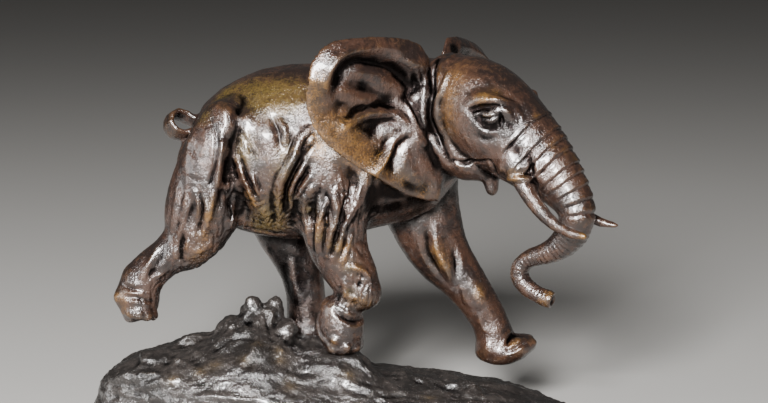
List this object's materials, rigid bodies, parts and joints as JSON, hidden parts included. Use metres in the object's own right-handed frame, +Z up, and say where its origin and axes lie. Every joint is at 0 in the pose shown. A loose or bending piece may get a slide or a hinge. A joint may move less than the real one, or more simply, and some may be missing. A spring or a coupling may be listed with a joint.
{
  "type": "bronze animal sculpture",
  "caption": "Small patinated bronze of a young elephant at a run with spread ears and a curled trunk, cast on a craggy rocky mound.",
  "frame": {"origin": "middle of the rocky mound's flat underside", "axes": "+X the way the elephant runs, +Y towards its left side, +Z up from the underside"},
  "size_m": [0.2049, 0.107, 0.1542],
  "materials": {
    "elephant_bronze": "polished dark brown patina, rubbed to ochre and gold on edges and high places",
    "mound_bronze": "black-brown patina with brassy flecks on the crags"
  },
  "bodies": {
    "root": {"elephant": "elephant_bronze", "rocky_mound": "mound_bronze"}
  },
  "joints": []
}
